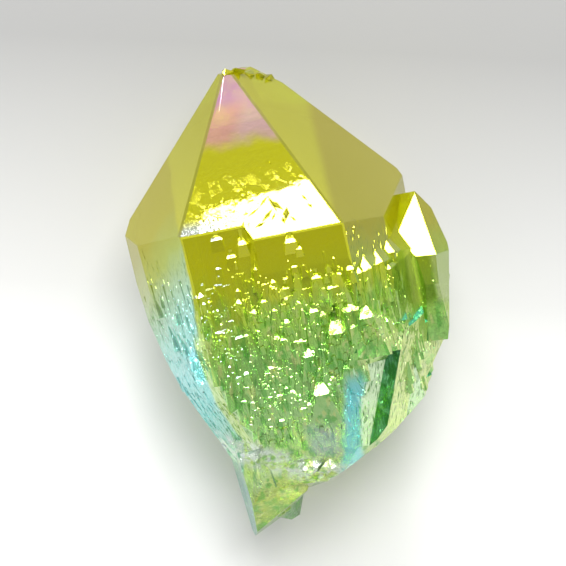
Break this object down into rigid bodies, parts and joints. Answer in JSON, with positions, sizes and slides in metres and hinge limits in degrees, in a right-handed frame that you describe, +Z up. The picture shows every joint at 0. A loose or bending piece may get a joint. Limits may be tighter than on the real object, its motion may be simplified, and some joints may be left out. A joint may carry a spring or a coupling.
{
  "type": "aura quartz crystal",
  "caption": "Stubby clear quartz point with a lemon and green aura coating, a small side point grown onto it and a tapering broken base, lying on its back face.",
  "frame": {"origin": "on the resting plane, under the middle of the box round the crystal", "axes": "+Y along the crystal's long axis towards its pointed end, +Z up out of the resting face, +X to the right seen from above, towards the small side point"},
  "size_m": [0.0372, 0.0554, 0.0304],
  "materials": {
    "aura_quartz": "clear quartz with a thin iridescent coating, yellow at the tip and green to blue-green towards the base"
  },
  "bodies": {
    "root": {"quartz_crystal": "aura_quartz"}
  },
  "joints": []
}
